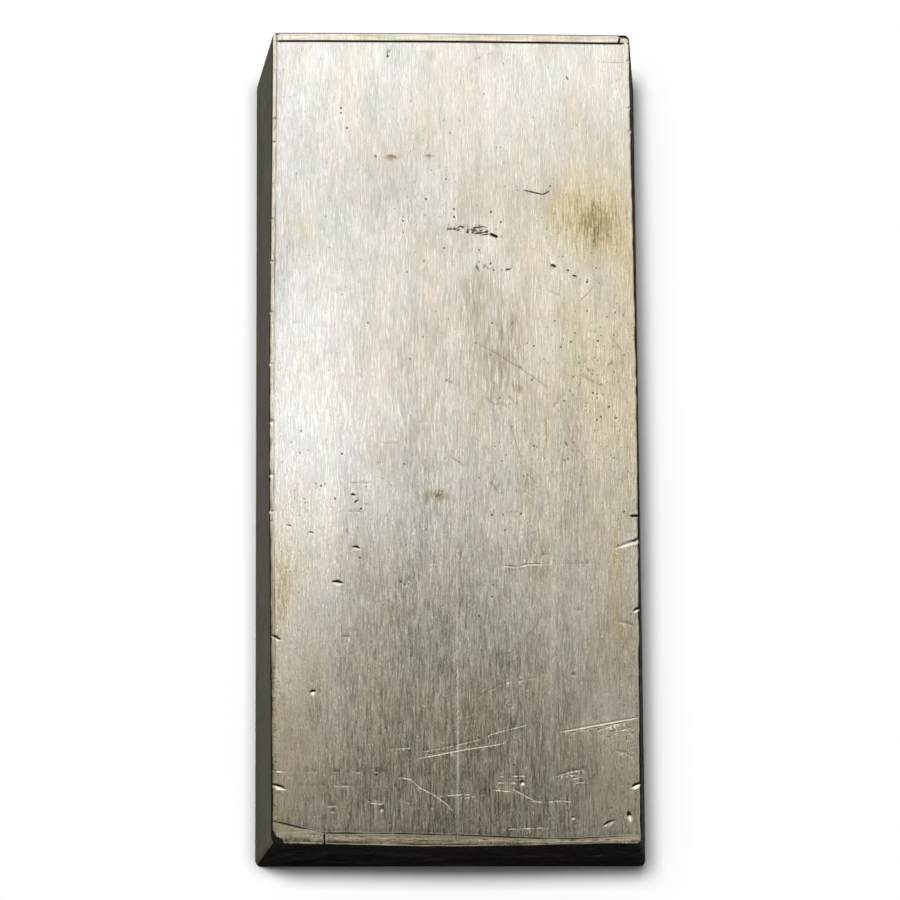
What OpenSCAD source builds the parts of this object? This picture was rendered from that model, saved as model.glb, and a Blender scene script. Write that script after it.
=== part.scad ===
// A cast bar of silver stock, lying on its wider face with its brushed face up.
// The long axis is Y, the origin is under the middle of the bar, and sizes are in millimetres.

/* [Bar] */
// Length between the end walls, measured at the shoulder
bar_length = 151.4; // [90:0.2:280]
// Width across the shoulders at the back end
back_width = 66.5; // [40:0.1:120]
// Width across the shoulders at the front end
front_width = 65.1; // [40:0.1:120]
// Thickness from the base to the brushed face
thickness = 28.3; // [12:0.1:60]

/* [Walls] */
// Draft of the two long walls, in degrees from upright
side_draft = 6.6; // [0:0.2:15]
// Draft of the two end walls, in degrees from upright
end_draft = 0.25; // [0:0.05:15]
// Swell of each long shoulder at the middle of its length
side_swell = 0.45; // [0:0.05:1.5]
// Swell of the back shoulder at the middle of its width
back_swell = 0.1; // [0:0.05:1]
// Swell of the front shoulder at the middle of its width
front_swell = 0.5; // [0:0.05:1]
// Radius of the upright corners at the shoulder
shoulder_radius = 1.4; // [0.6:0.1:4]
// Radius of the upright corners at the base
base_radius = 1.2; // [0.6:0.1:6]

/* [Edges] */
// Width of the bevel along each long edge of the face
side_bevel = 0.85; // [0.2:0.05:3]
// Width of the bevel across the back end of the face
back_bevel = 1.8; // [0.2:0.1:6]
// Width of the bevel across the front end of the face
front_bevel = 2.3; // [0.2:0.1:6]
// Drop of the bevels from the face to the shoulder
bevel_drop = 0.5; // [0.1:0.05:2]
// Radius of the corners where the bevels meet on the face
face_radius = 0.7; // [0.3:0.1:2]
// Height of the broken edge round the base
base_edge_height = 0.6; // [0.2:0.1:3]
// Inset of the broken edge round the base
base_edge_inset = 0.4; // [0.1:0.1:3]

/* [Hidden] */

// Steps along a long edge, across an end and round a corner
side_steps = 14;
end_steps = 8;
corner_steps = 6;
quarter_turn = 90;

// The bar is lofted a little past its base and its face, and that stock is planed off flat
planing_stock = 0.2;

// Heights of the base and shoulder outlines, and how far the drafted walls run out between them
base_z = base_edge_height;
shoulder_z = thickness - bevel_drop;
wall_height = shoulder_z - base_z;
side_runout = wall_height * tan(side_draft);
end_runout = wall_height * tan(end_draft);

// How much wider the bevels and the broken edge are where the loft ends, past the planed faces
bevel_growth = 1 + planing_stock / bevel_drop;
base_edge_growth = 1 + planing_stock / base_edge_height;

// Swells of the long edges, the back end and the front end
shoulder_swells = [side_swell, back_swell, front_swell];
no_swells = [0, 0, 0];

half_length = bar_length / 2;
half_back = back_width / 2;
half_front = front_width / 2;

// Swell at a place along an edge, from -1 at one end to 1 at the other: none at the ends, with no kink there
function swell(place, height) = height * pow(cos(quarter_turn * place), 2);

// A quarter round about a centre, from a starting angle
function corner(centre, radius, start) = [
    for (i = [0 : corner_steps])
        let (angle = start + quarter_turn * i / corner_steps)
            centre + radius * [cos(angle), sin(angle)]
];

// The points between two corners, moved out by the swell in the edge's outward direction
function edge(from, to, steps, outward, height) = [
    for (i = [1 : steps - 1])
        let (place = i / steps)
            from + (to - from) * place + outward * swell(2 * place - 1, height)
];

// One closed outline of the bar, anticlockwise from the right end of the back, at one height
function outline(back, front, back_y, front_y, radius, swells, z) =
    let (
        right_back = [back - radius, back_y - radius],
        left_back = [radius - back, back_y - radius],
        left_front = [radius - front, front_y + radius],
        right_front = [front - radius, front_y + radius],
        east = [radius, 0],
        north = [0, radius],
        points = concat(
            corner(right_back, radius, 0),
            edge(right_back + north, left_back + north, end_steps, [0, 1], swells[1]),
            corner(left_back, radius, quarter_turn),
            edge(left_back - east, left_front - east, side_steps, [-1, 0], swells[0]),
            corner(left_front, radius, 2 * quarter_turn),
            edge(left_front - north, right_front - north, end_steps, [0, -1], swells[2]),
            corner(right_front, radius, 3 * quarter_turn),
            edge(right_front + east, right_back + east, side_steps, [1, 0], swells[0])
        )
    )
    [for (p = points) [p.x, p.y, z]];

// An outline with straight edges, outside the shoulder by the walls' run-out less an inset
function straight_outline(inset, z) =
    let (side = side_runout - inset, end = half_length + end_runout - inset)
    outline(half_back + side, half_front + side, end, -end, base_radius, no_swells, z);

function foot_outline() = straight_outline(base_edge_inset * base_edge_growth, -planing_stock);
function base_outline() = straight_outline(0, base_z);

function shoulder_outline() =
    outline(half_back, half_front, half_length, -half_length, shoulder_radius, shoulder_swells, shoulder_z);

function face_outline() =
    let (
        side = side_bevel * bevel_growth,
        back_y = half_length - back_bevel * bevel_growth,
        front_y = front_bevel * bevel_growth - half_length
    )
    outline(half_back - side, half_front - side, back_y, front_y, face_radius, shoulder_swells,
            thickness + planing_stock);

// A solid through a stack of level outlines, from the bottom up, that have as many points as each other
module loft(outlines) {
    count = len(outlines[0]);
    last = len(outlines) - 1;
    rings = [for (o = outlines) each o];
    floor_centre = len(rings);
    roof_centre = floor_centre + 1;
    centres = [[0, 0, outlines[0][0].z], [0, 0, outlines[last][0].z]];
    walls = [
        for (level = [0 : last - 1], i = [0 : count - 1])
            let (next = (i + 1) % count, low = level * count, high = low + count)
                each [[low + i, high + i, high + next], [low + i, high + next, low + next]]
    ];
    ends = [
        for (i = [0 : count - 1])
            let (next = (i + 1) % count, high = last * count)
                each [[floor_centre, i, next], [roof_centre, high + next, high + i]]
    ];
    polyhedron(concat(rings, centres), concat(walls, ends), convexity = 2);
}

// Everything between the planed base and the planed face
module planed_layer() {
    reach = bar_length + back_width + front_width;
    translate([-reach / 2, -reach / 2, 0])
        cube([reach, reach, thickness]);
}

// The whole bar is one casting
module ingot() {
    color([0.78, 0.76, 0.71])
        intersection() {
            loft([foot_outline(), base_outline(), shoulder_outline(), face_outline()]);
            planed_layer();
        }
}

ingot();
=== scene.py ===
"""Looks of the silver bar: one worn, brushed casting lying on a white studio floor.

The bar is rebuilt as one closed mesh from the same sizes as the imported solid, with far more points, so
that every cut, dent and worn edge on it is real shape. Marks are placed by the pixel of the photograph
where they are seen, and are carried down the camera's ray to the brushed face.
Lengths are in millimetres until the mesh is made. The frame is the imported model's: Y along the bar, Z up.
"""

import math
from typing import NamedTuple

import bpy
import numpy as np
from mathutils import Euler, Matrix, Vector, noise
from mathutils.geometry import delaunay_2d_cdt


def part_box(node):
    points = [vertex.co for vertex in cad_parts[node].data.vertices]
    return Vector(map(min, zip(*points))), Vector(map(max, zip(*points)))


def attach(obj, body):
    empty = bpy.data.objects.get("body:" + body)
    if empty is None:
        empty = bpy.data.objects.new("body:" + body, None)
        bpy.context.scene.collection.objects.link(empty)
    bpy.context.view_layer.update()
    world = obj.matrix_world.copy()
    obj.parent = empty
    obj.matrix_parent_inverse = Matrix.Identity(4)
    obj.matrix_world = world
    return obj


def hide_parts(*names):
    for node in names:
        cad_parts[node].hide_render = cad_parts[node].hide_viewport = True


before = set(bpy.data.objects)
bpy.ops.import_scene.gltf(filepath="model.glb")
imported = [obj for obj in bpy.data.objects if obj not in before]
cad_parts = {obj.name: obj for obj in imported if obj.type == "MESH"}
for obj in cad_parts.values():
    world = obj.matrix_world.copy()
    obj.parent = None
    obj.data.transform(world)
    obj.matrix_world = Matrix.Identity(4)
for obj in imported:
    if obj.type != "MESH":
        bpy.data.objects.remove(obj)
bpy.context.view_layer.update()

MM = 0.001

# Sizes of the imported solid. Its thickness is read from the frame.
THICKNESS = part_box("ingot")[1][2] / MM
BAR_LENGTH = 151.4
BACK_WIDTH = 66.5
FRONT_WIDTH = 65.1
SIDE_RUNOUT = 3.147
END_RUNOUT = 0.119
SIDE_SWELL = 0.45
BACK_SWELL = 0.1
FRONT_SWELL = 0.5
SHOULDER_RADIUS = 1.4
BASE_RADIUS = 1.2
SIDE_BEVEL = 0.85
BACK_BEVEL = 1.8
BEVEL_DROP = 0.5
BASE_EDGE_HEIGHT = 0.6
BASE_EDGE_INSET = 0.4

HALF_LENGTH = BAR_LENGTH / 2
HALF_BACK = BACK_WIDTH / 2
HALF_FRONT = FRONT_WIDTH / 2
SHOULDER_Z = THICKNESS - BEVEL_DROP

# The camera that fits the photograph, with its image taken as 900 by 900 pixels
PHOTO_SIZE = 900
CAMERA_PLACE = (-26.496, -165.695, 650.882)
CAMERA_TURN = (14.5313, -2.2684, -0.387)
CAMERA_LENS = 142.83
CAMERA_SENSOR = 36
FOCAL_PIXELS = CAMERA_LENS * PHOTO_SIZE / CAMERA_SENSOR

# Spacing of the mesh's points: on the face, along its edges, up the walls, on the base and along a mark
FACE_STEP = 0.56
EDGE_STEP = 0.45
WALL_STEP = 1.05
BASE_STEP = 4.0
MARK_STEP = 0.24

SEED = 7


class Mark(NamedTuple):
    """A scratch: its route in photo pixels, its size in mm, and what shows in it, from 0 to 1."""

    route: tuple
    width: float = 0.3
    depth: float = 0.02
    dirt_and_shade: float = 0.0
    bare_and_highlight: float = 0.0
    broken: float = 0.0
    wedge: bool = False


class Gouge(NamedTuple):
    """A dent, steep at its back with painted shade there and a painted highlight in front, with its middle
    and size in photo pixels.
    """

    middle: tuple
    size: tuple
    depth: float = 0.25
    slant: float = 0.0
    bright: float = 0.8
    dark: float = 1.0


class Skin(NamedTuple):
    """The finish of a wall: its colour, that of its worn patches, and its shine at a flat angle."""

    name: str
    tint: tuple
    worn: tuple
    flat_shine: tuple


class Stain(NamedTuple):
    """A soft patch: its middle and half size in photo pixels, and how strong it is."""

    middle: tuple
    reach: tuple
    strength: float


# Thin dark scratches with dirt in them, most of them on the upper half
HAIRLINES = (
    Mark(((385.5, 155.8), (391, 156.2), (397.5, 158.4)), 0.5, 0.01, 0.3),
    Mark(((424, 156.2), (432, 155.6)), 0.4, 0.01, 0.3),
    Mark(((472, 340), (500, 356), (530, 375), (555, 393)), 0.2, 0.015, 0.32),
    Mark(((485, 346), (507, 361), (530, 374)), 0.16, 0.015, 0.2, broken=0.2),
    Mark(((503, 392), (519, 407)), 0.16, 0.015, 0.25),
    Mark(((482, 392), (489, 401), (496, 405), (517, 405.5)), 0.18, 0.015, 0.29, broken=0.2),
    Mark(((444, 380), (460, 387)), 0.16, 0.015, 0.22),
    Mark(((596, 284), (587, 294), (577, 304)), 0.2, 0.015, 0.34),
    Mark(((547, 290), (561, 296)), 0.18, 0.015, 0.3),
    Mark(((610, 336), (624, 354)), 0.2, 0.02, 0.29),
    Mark(((576, 374), (591, 381), (606, 388)), 0.16, 0.015, 0.2),
    Mark(((506, 330), (516, 321)), 0.16, 0.015, 0.22),
    Mark(((552, 409), (566, 391)), 0.2, 0.02, 0.29),
    Mark(((507, 417), (516, 443), (521, 460), (524, 476)), 0.22, 0.02, 0.32),
    Mark(((526, 472), (537, 485)), 0.2, 0.02, 0.29),
    Mark(((488, 481), (503, 497)), 0.2, 0.02, 0.32),
    Mark(((448, 455), (465, 467)), 0.22, 0.02, 0.36),
    Mark(((571, 441), (589, 464)), 0.2, 0.02, 0.25),
    Mark(((475, 264), (480, 273)), 0.22, 0.02, 0.6),
    Mark(((482, 269), (486, 266), (489, 270), (495, 266)), 0.24, 0.02, 0.6, broken=0.5),
    Mark(((500, 269.5), (506, 268.5), (511.5, 270.5)), 0.24, 0.02, 0.6, broken=0.7),
    Mark(((521, 190), (527, 191), (536, 193), (543, 194.5), (552, 190)), 0.26, 0.04, 0.9, broken=0.12),
    Mark(((549, 187.5), (551.5, 185)), 0.3, 0.03, 0.8),
    Mark(((594, 62), (628, 63)), 0.24, 0.02, 0.25),
    Mark(((389, 50), (387.5, 58)), 0.4, 0.03, 0.8, broken=0.6),
    Mark(((474, 61), (482, 56), (497, 53)), 0.26, 0.02, 0.22, broken=0.4),
    Mark(((514, 46), (514, 67)), 0.3, 0.02, 0.22, broken=0.5),
    Mark(((566, 76), (567, 79), (569, 79)), 0.3, 0.02, 0.7),
    Mark(((528, 99), (545, 107), (562, 113), (592, 116)), 0.4, 0.01, 0.2, broken=0.3),
    Mark(((374, 154.5), (377, 158)), 0.3, 0.02, 0.7),
    Mark(((346, 528), (348, 535)), 0.24, 0.02, 0.55),
    Mark(((356.5, 504), (372, 505)), 0.2, 0.01, 0.22),
    Mark(((405, 584), (408, 579.5), (411, 583)), 0.2, 0.02, 0.4, broken=0.5),
    Mark(((572.6, 609), (578, 610.5), (584.5, 609.7)), 0.24, 0.02, 0.36),
    Mark(((616.8, 620.3), (637.8, 627.4)), 0.2, 0.02, 0.36),
    Mark(((338, 637.5), (352, 637)), 0.22, 0.02, 0.29),
    Mark(((613, 751), (625, 753), (635, 759)), 0.22, 0.02, 0.22),
    Mark(((544, 564.2), (575, 564), (606, 563.5)), 0.22, 0.02, 0.25, broken=0.4),
)

# The ragged crack near the middle, upper half
CRACK = (
    Mark(((448, 229.6), (453, 229), (458, 229)), 0.27, 0.05, 1.0, broken=0.2),
    Mark(((457, 228.5), (460.5, 226), (464, 228.5)), 0.24, 0.05, 1.0, broken=0.2),
    Mark(((468, 229), (474, 227.5), (480, 227), (486, 226.5)), 0.24, 0.05, 1.0, broken=0.5),
    Mark(((469, 231), (477, 232), (484, 229.5)), 0.25, 0.06, 1.0, broken=0.4),
    Mark(((474, 234), (481, 232.8), (489, 232)), 0.27, 0.06, 1.0, broken=0.3),
    Mark(((478, 235.5), (486, 234.5), (492, 233.8)), 0.22, 0.05, 1.0, broken=0.4),
    Mark(((489.5, 233.8), (493, 235.2), (498, 237.4)), 0.52, 0.12, 1.0),
    Mark(((494, 229.5), (500, 229)), 0.2, 0.03, 0.7, broken=0.6),
)

# Cuts, most of them on the darker lower half, bright where fresh metal shows and where a painted highlight
# lies on their lit wall
CUTS = (
    Mark(((556, 732.5), (590, 726), (620, 720.5), (640, 717)), 0.41, 0.075, 0.3, 0.14),
    Mark(((594, 732), (608, 727), (622, 722)), 0.17, 0.03, 0.3, 0.11),
    Mark(((592, 736.8), (615, 733.5), (638, 729.5)), 0.33, 0.06, 0.3, 0.2, broken=0.8),
    Mark(((598.5, 732), (618, 730.5), (638, 728)), 0.22, 0.05, 0.3, 0.17, broken=0.9),
    Mark(((416, 758.5), (440, 754), (460, 750), (486, 746), (508, 742.4)), 0.3, 0.05, 0.3, 0.34),
    Mark(((418, 752.2), (440, 748.7), (465, 743), (486, 737.5)), 0.22, 0.03, 0.3, 0.26, broken=0.4),
    Mark(((484, 738), (491, 734), (497.5, 732), (514, 728), (530, 724)), 0.27, 0.04, 0.3, 0.39, broken=0.2),
    Mark(((391, 749.3), (414, 747.3)), 0.22, 0.03, 0.3, 0.29, broken=0.4),
    Mark(((394, 779), (402, 777.5), (410.5, 779), (421, 788), (436, 795.7), (448, 805), (457, 815)),
         0.27, 0.035, 0.3, 0.34),
    Mark(((436, 796.4), (457, 794.3), (478, 794.3)), 0.33, 0.04, 0.3, 0.34, broken=0.5),
    Mark(((457, 798.5), (479, 795.7), (489, 793.5)), 0.22, 0.03, 0.3, 0.29, broken=0.4),
    Mark(((288, 772), (340, 772.5), (394, 772)), 0.17, 0.02, 0.3, 0.2, broken=0.9),
    Mark(((288, 786), (340, 786), (393, 786.6)), 0.2, 0.02, 0.3, 0.29, broken=0.7),
    Mark(((393.5, 783), (395, 788)), 0.22, 0.04, 0.8),
    Mark(((493, 776), (512, 776), (530, 775.5)), 0.3, 0.04, 0.3, 0.34, broken=0.4),
    Mark(((497, 782), (510, 782.5), (524, 782.4)), 0.49, 0.05, 0.3, 0.29, broken=0.6),
    Mark(((494, 789.5), (513, 791.5)), 0.33, 0.04, 0.3, 0.31, broken=0.4),
    Mark(((511.6, 788), (524, 795), (538, 802)), 0.24, 0.035, 0.3, 0.37),
    Mark(((527, 800.6), (545, 802), (560, 800.5), (575, 802)), 0.3, 0.04, 0.3, 0.42, broken=0.3),
    Mark(((541, 803.5), (549, 816), (557, 830)), 0.38, 0.02, 0.3, 0.2, broken=0.7),
    Mark(((500, 829.2), (530, 828), (557, 827)), 0.27, 0.03, 0.3, 0.26, broken=0.5),
    Mark(((555, 776.6), (571, 772), (586.7, 768.5)), 0.17, 0.03, 0.3, 0.26),
    Mark(((564.3, 776.3), (571, 774.5), (580.6, 775.8)), 0.19, 0.04, 0.6),
    Mark(((567, 781), (574, 778.5), (583, 776.5)), 0.22, 0.03, 0.3, 0.22, broken=0.5),
    Mark(((574.5, 782.8), (587.2, 782.2)), 0.27, 0.04, 0.3, 0.39, broken=0.2),
    Mark(((327.8, 806.7), (336.5, 806.2)), 0.24, 0.04, 0.3, 0.34),
    Mark(((329.8, 812.3), (335, 812.3)), 0.22, 0.04, 0.3, 0.29),
    Mark(((370, 802.8), (383, 803.6)), 0.33, 0.07, 0.35, 0.29),
    Mark(((379.8, 809.8), (384, 809.8)), 0.27, 0.05, 0.3, 0.34),
    Mark(((400, 800.6), (410, 802.7)), 0.22, 0.04, 0.6, broken=0.5),
    Mark(((500.3, 565.6), (517, 567), (527, 564.4), (544, 564.2)), 0.41, 0.06, 0.3, 0.48, broken=0.25),
    Mark(((541, 555.7), (551, 553.6)), 0.19, 0.03, 0.3, 0.26),
    Mark(((464, 704), (482, 695), (500, 685), (509, 681.5), (519, 681), (544, 676)), 0.27, 0.02, 0.3,
         broken=0.4),
    Mark(((507, 683.5), (510, 680.5)), 0.24, 0.06, 0.3, 0.45),
    Mark(((571.5, 675.6), (577, 675.6)), 0.22, 0.04, 0.3, 0.45),
    Mark(((404, 427.5), (415, 424.5), (426, 421)), 0.33, 0.03, 0.3, 0.29, broken=0.5),
    Mark(((424.5, 531), (427, 531.5)), 0.27, 0.05, 0.3, 0.51),
    Mark(((388, 553), (390.5, 553)), 0.22, 0.04, 0.3, 0.45),
)

# Dark torn lines beside the cuts, lower right
TORN_LINES = (
    Mark(((560, 734.2), (600, 726.8), (639, 719.4)), 0.2, 0.03, 0.9, broken=0.3),
    Mark(((592, 734.6), (612, 731.2), (638, 726.6)), 0.2, 0.03, 0.95, broken=0.6),
    Mark(((600, 738), (620, 735), (639, 731.6)), 0.2, 0.03, 0.95, broken=0.6),
    Mark(((496, 779), (512, 778.4), (526, 778.8)), 0.18, 0.03, 0.85, broken=0.5),
    Mark(((416, 756.4), (450, 750.4), (486, 744)), 0.16, 0.02, 0.75, broken=0.4),
    Mark(((366, 801.2), (374, 800.8), (386, 801.6)), 0.2, 0.03, 0.95, broken=0.3),
    Mark(((400, 805.5), (420, 808), (436, 807)), 0.2, 0.02, 0.85, broken=0.6),
)

# Faint straight lines left by the brushing belt: along the bar, and a few across it
BELT_LINES = (
    Mark(((456.5, 480), (457, 640), (457.3, 850)), 0.4, 0.01, 0.0, 0.45, broken=0.25),
    Mark(((457.1, 648), (457.4, 836)), 0.6, 0.01, 0.0, 1.0, broken=0.15),
    Mark(((551, 520), (551.3, 690), (551.5, 870)), 1.5, 0.006, 0.0, 0.36, broken=0.3),
    Mark(((446, 400), (446, 467)), 0.26, 0.012, 0.29, broken=0.3),
    Mark(((451, 456), (451, 537)), 0.26, 0.012, 0.29, broken=0.3),
    Mark(((424, 256), (424, 312)), 0.24, 0.012, 0.25, broken=0.3),
    Mark(((547, 407), (547, 449)), 0.34, 0.012, 0.29, broken=0.3),
    Mark(((621, 568), (621, 610)), 0.36, 0.012, 0.22, broken=0.3),
    Mark(((615, 529), (615, 540)), 0.4, 0.012, 0.29, broken=0.3),
    Mark(((631, 418), (630.5, 453)), 0.4, 0.012, 0.25, broken=0.3),
    Mark(((307, 326), (342, 326)), 0.22, 0.01, 0.18, broken=0.3),
    Mark(((292, 323), (302, 323)), 0.22, 0.01, 0.18),
    Mark(((330, 291), (344, 291)), 0.22, 0.01, 0.14),
    Mark(((293, 343), (310, 343)), 0.22, 0.01, 0.14),
    Mark(((326, 376), (370, 376)), 0.22, 0.01, 0.18, broken=0.6),
    Mark(((347, 483), (372, 483)), 0.22, 0.01, 0.22),
    Mark(((380, 443), (401, 443)), 0.3, 0.01, 0.25),
    Mark(((337, 512), (366, 512)), 0.22, 0.01, 0.22, broken=0.3),
)

# Scratches along the front bevel, and the dark marks round the back right and front left corners
END_LINES = (
    Mark(((330, 836.6), (390, 837.6), (452, 839)), 0.2, 0.02, 0.8, broken=0.3),
    Mark(((338, 839.8), (400, 840.6), (470, 842)), 0.22, 0.02, 0.8, broken=0.4),
    Mark(((350, 843), (430, 843.5), (520, 845)), 0.18, 0.02, 0.7, broken=0.5),
    Mark(((460, 838.6), (540, 841.4), (600, 840.4), (638, 838)), 0.22, 0.02, 0.8, broken=0.3),
    Mark(((285, 830), (320, 837), (345, 838)), 0.18, 0.02, 0.6, broken=0.5),
    Mark(((520, 843.5), (580, 843.6), (630, 841.5)), 0.18, 0.02, 0.6, broken=0.5),
    Mark(((616, 35.5), (627, 36.5), (630.5, 40), (631, 53)), 0.8, 0.08, 1.0),
    Mark(((270.5, 812), (271, 826), (273, 838), (280, 848), (296, 849.5)), 0.9, 0.06, 1.0, broken=0.3),
)

# Nicks at the edges, with bare metal and a painted highlight on their lit side and dirt and painted shade
# on the other. A wedge runs in from its edge, and is deepest there, at its first point.
EDGE_NICKS = (
    Mark(((631, 60), (625, 62)), 0.7, 0.16, 0.1, 1.0, wedge=True),
    Mark(((631.5, 107), (625.5, 109.5)), 0.7, 0.16, 0.1, 1.0, wedge=True),
    Mark(((632, 130.5), (626.5, 132.5)), 0.7, 0.16, 0.1, 1.0, wedge=True),
    Mark(((270.5, 770.3), (287, 772)), 0.5, 0.16, 0.8, 0.4, wedge=True),
    Mark(((270.2, 118), (280, 118.6)), 0.45, 0.16, 0.55, wedge=True),
    Mark(((270.2, 141), (278, 142)), 0.45, 0.16, 0.55, wedge=True),
    Mark(((270.2, 184), (276, 184.5)), 0.5, 0.14, 0.2, 0.6, wedge=True),
    Mark(((270.2, 219), (275, 219)), 0.5, 0.14, 0.1, 0.8, wedge=True),
    Mark(((269.8, 261), (275, 261)), 0.6, 0.16, 0.1, 0.9, wedge=True),
    Mark(((269.3, 312), (274, 312)), 0.6, 0.18, 0.1, 0.9, wedge=True),
    Mark(((269.2, 363.5), (274, 363.5)), 0.65, 0.18, 0.1, 0.9, wedge=True),
    Mark(((269.6, 511.5), (275, 511.5)), 0.6, 0.15, 0.1, 0.8, wedge=True),
    Mark(((269.6, 520.5), (275, 520.5)), 0.4, 0.12, 0.6, wedge=True),
    Mark(((637, 540.4), (611, 549.5)), 0.9, 0.18, 0.9, 1.0, wedge=True),
    Mark(((643, 515.3), (629, 516.2)), 0.5, 0.14, 1.0),
    Mark(((632.5, 83), (629, 86)), 0.4, 0.12, 0.1, 0.9, wedge=True),
    Mark(((633, 37), (624, 36.5)), 0.9, 0.25, 0.9, wedge=True),
    Mark(((620, 38), (618.5, 43)), 0.4, 0.1, 0.9),
    Mark(((324.5, 848), (324, 832.5)), 0.42, 0.08, 1.0),
)

# Dents with a painted shadow on their back wall and a painted highlight on their front slope
GOUGES = (
    Gouge((337.5, 583), (11, 5), 0.26, 0.12),
    Gouge((356, 548), (7, 4.5), 0.22, 0.2),
    Gouge((353, 495.5), (4.5, 4), 0.2, 0.0, 0.4),
    Gouge((356.5, 502), (4.5, 3), 0.18, -0.8, 0.3),
    Gouge((313, 692.5), (6, 5.5), 0.25, -0.25),
    Gouge((522.3, 783), (4.5, 5.5), 0.25, -0.4),
    Gouge((289, 526), (4.5, 2.6), 0.12, 0.2, 0.1),
    Gouge((311, 533), (5, 2.6), 0.12, 0.2, 0.1),
    Gouge((553, 266.5), (6, 4.5), 0.25, 0.4, 0.6),
    Gouge((568, 271), (2.6, 2.6), 0.12, 0.0, 0.2),
    Gouge((574.5, 276.5), (4.5, 3), 0.18, 0.3, 0.4),
    Gouge((609, 823.5), (13, 5), 0.05, -0.45, 0.0),
    Gouge((275.5, 638), (10, 4.4), 0.26, 0.45, 0.9),
    Gouge((278, 787), (15, 4.6), 0.26, 0.3, 0.9),
    Gouge((271.5, 422), (6.5, 6), 0.14, 0.0, 1.0, 0.25),
    Gouge((271.5, 475), (6.5, 6), 0.14, 0.0, 1.0, 0.25),
    Gouge((637, 785.5), (11, 5.5), 0.25, -0.4, 1.0),
    Gouge((637.5, 609.8), (9, 5), 0.2, -0.4, 0.9),
    Gouge((629.5, 816.5), (4.5, 11), 0.28, -0.2, 0.7),
    Gouge((573, 818), (3.5, 4), 0.15, -0.2, 0.15),
)

# Fields of small ragged flecks: middle and half size in pixels, and how many
FLECK_FIELDS = (
    ((478, 230.5), (11, 3.4), 34),
    ((453, 229.5), (8, 1.3), 9),
    ((488, 266), (12, 4.5), 9),
    ((506, 269.5), (6, 1.6), 6),
    ((405, 582), (8, 3.5), 8),
    ((439, 494), (7, 3.5), 8),
    ((595, 365), (26, 22), 16),
    ((388, 53), (3, 4), 5),
    ((273.5, 745), (2.6, 78), 64),
    ((296, 842), (22, 4.5), 22),
    ((280, 846), (8, 3), 8),
)

# Single pits that stand out
PITS = (
    (341, 113), (341, 108), (347, 128), (450, 133), (446, 179), (426, 199), (425, 215), (454, 209),
    (454, 217), (403, 221), (424, 261), (407, 272), (423, 337), (410, 359), (444, 248), (368, 323),
    (491, 212), (501, 222), (479, 250), (587, 282), (596, 268), (599, 283), (587, 311), (615, 313),
    (623, 315), (555, 321), (575, 333), (598, 341), (571, 342), (561, 347), (534, 346), (607, 317),
    (624, 355), (614, 372), (532, 380), (573, 377), (570, 391), (573, 395), (593, 393), (597, 394),
    (597, 398), (609, 407), (564, 401), (601, 417), (597, 420), (616, 418), (476, 343), (492, 323),
    (500, 398), (534, 446), (566, 443), (567, 445), (564, 460), (568, 459), (614, 458), (524, 476),
    (521, 514), (503, 515), (492, 515), (505, 530), (493, 585), (492, 597), (479, 616), (479, 478),
    (502, 461), (506, 455), (580, 485), (316, 484), (321, 486), (325, 484), (301, 431), (300, 453),
    (342, 454), (404, 464), (305, 503), (335, 499), (361, 509), (360, 558), (410, 751), (425, 776),
    (486, 765), (514, 765), (611, 808), (371, 827), (390, 824), (624, 512),
)

# Fine dark specks: how thickly they lie everywhere, and the fields where they lie thicker
SPECKS_EVERYWHERE = 0.015
SPECK_FIELDS = (
    Stain((592, 365), (44, 75), 0.34),
    Stain((540, 470), (90, 55), 0.1),
    Stain((286, 590), (16, 40), 0.2),
    Stain((273, 755), (4, 60), 0.6),
    Stain((298, 842), (26, 6), 0.5),
    Stain((320, 495), (50, 50), 0.08),
    Stain((450, 190), (170, 90), 0.06),
    Stain((450, 600), (190, 90), 0.05),
    Stain((610, 225), (30, 60), 0.14),
)

# Golden tarnish: the patch near the right edge, its spots, and the warm rim along the left edge
GOLD_STAINS = (
    Stain((594, 222), (22, 24), 0.76),
    Stain((603, 224), (6, 24), 0.3),
    Stain((560, 220), (20, 22), 0.34),
    Stain((590, 224), (13, 13), 0.4),
    Stain((582, 190), (34, 30), 0.26),
    Stain((620, 212), (15, 48), 0.34),
    Stain((588, 246), (34, 16), 0.2),
    Stain((624, 262), (9, 22), 0.38),
    Stain((629, 350), (4, 60), 0.26),
    Stain((560, 395), (60, 55), 0.12),
    Stain((600, 330), (36, 40), 0.1),
    Stain((432, 140), (38, 26), 0.16),
    Stain((300, 225), (14, 14), 0.15),
    Stain((480, 190), (26, 30), 0.14),
    Stain((283, 595), (11, 36), 0.46),
    Stain((547, 430), (3, 32), 0.36),
    Stain((617, 570), (4, 42), 0.42),
    Stain((630.5, 432), (3, 24), 0.24),
    Stain((278, 690), (8, 60), 0.2),
    Stain((300, 560), (16, 14), 0.15),
    Stain((290, 735), (16, 40), 0.16),
    Stain((282, 818), (12, 14), 0.3),
    Stain((620, 590), (10, 60), 0.12),
    Stain((628, 470), (9, 60), 0.1),
    Stain((381, 462), (14, 22), 0.14),
    Stain((626, 690), (10, 80), 0.1),
)

# Olive smears and spots
SMEARS = (
    Stain((480, 288), (18, 24), 0.44),
    Stain((473, 318), (12, 26), 0.34),
    Stain((487, 352), (13, 34), 0.42),
    Stain((501.5, 345), (3.2, 46), 0.45),
    Stain((514, 326), (10, 24), 0.38),
    Stain((513, 364), (12, 30), 0.4),
    Stain((496, 396), (14, 12), 0.3),
    Stain((515, 385.5), (4, 3), 0.7),
    Stain((519.5, 389), (3.5, 3), 0.6),
    Stain((490, 697), (9, 5), 0.4),
    Stain((503, 687), (6, 3.5), 0.36),
    Stain((391.5, 157), (5.5, 2), 1.6),
    Stain((428, 156), (4, 1.6), 1.6),
    Stain((433, 496), (15, 6), 0.8),
    Stain((438, 495), (6, 4), 0.8),
    Stain((430, 55), (6, 5), 0.45),
)
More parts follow.
